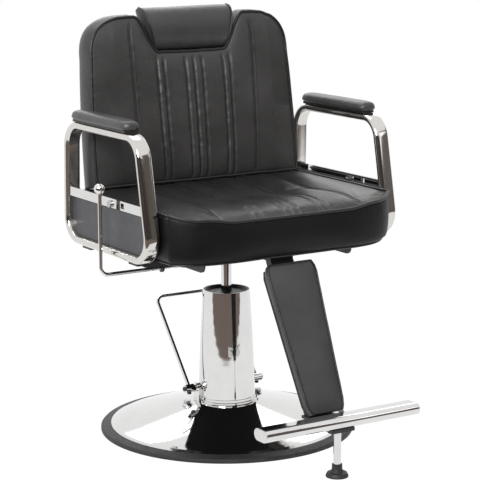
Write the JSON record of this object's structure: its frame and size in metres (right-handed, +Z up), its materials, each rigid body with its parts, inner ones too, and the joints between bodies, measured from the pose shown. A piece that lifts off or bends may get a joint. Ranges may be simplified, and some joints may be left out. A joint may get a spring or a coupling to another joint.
{
  "type": "barber chair",
  "caption": "Black padded barber chair on a round chromed hydraulic base, with loop arms, reclining back, sliding head pillow, foot pedal and a calf pad with a foot bar.",
  "frame": {"origin": "centre of the round base on the floor", "axes": "+Z up along the pump column, -Y the way the sitter faces, +X to the sitter's left"},
  "size_m": [0.7035, 0.788, 0.986],
  "materials": {
    "black_leather": "black leatherette with a fine grain",
    "chrome": "bright chromium plate",
    "black_steel": "satin black enamel",
    "plain_steel": "zinc-plated steel",
    "black_rubber": "black moulded rubber",
    "board_wood": "plywood stained black",
    "panel_paint": "dark grey enamel",
    "bronze": "sintered bronze",
    "knob_metal": "polished steel ball",
    "cylinder_paint": "grey enamel",
    "cap_plastic": "black moulded plastic",
    "board_plastic": "black moulded plastic",
    "cap_metal": "brushed end caps"
  },
  "bodies": {
    "base": {"base_trim": "black_rubber", "base_plate": "plain_steel", "base_dish": "chrome", "base_bolts": "plain_steel", "pump_flange": "chrome", "pump_cylinder": "cylinder_paint", "pump_gland": "cylinder_paint", "column_cover": "chrome", "column_cap": "cap_plastic"},
    "ram": {"ram_piston": "plain_steel", "thrust_bearing": "bronze"},
    "plunger": {"pump_plunger": "plain_steel"},
    "pedal": {"pedal_shafts": "plain_steel", "pedal_clamps": "chrome", "pedal_screws": "black_steel", "pedal_bar": "chrome"},
    "seat": {"spindle": "chrome", "seat_hub": "black_steel", "mount_plate": "black_steel", "frame_bolts": "plain_steel", "cross_tubes": "black_steel", "rail_left": "black_steel", "rail_right": "black_steel", "hinge_pins": "plain_steel", "seat_board": "board_wood", "seat_cushion": "black_leather", "arm_loop_left": "chrome", "arm_loop_right": "chrome", "arm_crossbars": "chrome", "side_panel_left": "panel_paint", "side_panel_right": "panel_paint", "arm_bolts": "plain_steel", "arm_boards": "board_plastic", "arm_pad_left": "black_leather", "arm_pad_right": "black_leather", "lock_bracket": "black_steel", "lock_cylinder": "black_steel", "footrest_arm": "black_steel", "footrest_bar": "black_steel", "calf_board": "board_wood", "calf_pad": "black_leather", "footbar": "chrome", "footbar_caps": "cap_metal", "leg_plate": "black_steel", "support_leg": "chrome"},
    "lock_rod": {"lock_rod": "chrome"},
    "lever": {"lever_rod": "chrome", "lever_knob": "knob_metal"},
    "foot": {"foot_stud": "plain_steel", "rubber_foot": "black_rubber"},
    "back": {"back_board": "board_wood", "back_cushion": "black_leather", "back_cover": "black_leather", "back_bracket_left": "black_steel", "back_bracket_right": "black_steel", "headrest_guide": "black_steel"},
    "headrest": {"headrest_post": "chrome", "headrest_board": "board_plastic", "headrest_pillow": "black_leather"}
  },
  "joints": [
    {"name": "lift", "type": "slide", "parent": "base", "child": "ram", "axis": [0, 0, 1], "range_m": [0, 0.15]},
    {"name": "swivel", "type": "hinge", "parent": "ram", "child": "seat", "pos_m": [0, 0, 0], "axis": [0, 0, 1], "continuous": true},
    {"name": "recline", "type": "hinge", "parent": "seat", "child": "back", "pos_m": [0, 0.182, 0.5], "axis": [-1, 0, 0], "range_deg": [0, 40]},
    {"name": "headrest_slide", "type": "slide", "parent": "back", "child": "headrest", "axis": [0, 0.1219, 0.9925], "range_m": [0, 0.09]},
    {"name": "pedal_press", "type": "hinge", "parent": "base", "child": "pedal", "pos_m": [0, 0.016, 0.101], "axis": [-1, 0, 0], "range_deg": [0, 30], "stiffness_Nm_per_rad": 12, "springref_deg": -20.05},
    {"name": "plunger_stroke", "type": "slide", "parent": "base", "child": "plunger", "axis": [0, 0, -1], "range_m": [0, 0.0084]},
    {"name": "lever_pull", "type": "hinge", "parent": "seat", "child": "lever", "pos_m": [0, -0.038, 0.413], "axis": [-1, 0, 0], "range_deg": [0, 25], "stiffness_Nm_per_rad": 2, "springref_deg": -14.32},
    {"name": "lock_slide", "type": "slide", "parent": "seat", "child": "lock_rod", "axis": [0, -1, 0], "range_m": [0, 0.0468]},
    {"name": "foot_turn", "type": "hinge", "parent": "seat", "child": "foot", "pos_m": [0, -0.45805, 0.03], "axis": [0, 0, 1], "continuous": true}
  ],
  "couplings": [
    {"joint": "plunger_stroke", "follows": "pedal_press", "m_per_rad": 0.015852},
    {"joint": "lock_slide", "follows": "recline", "m_per_rad": 0.066628}
  ]
}
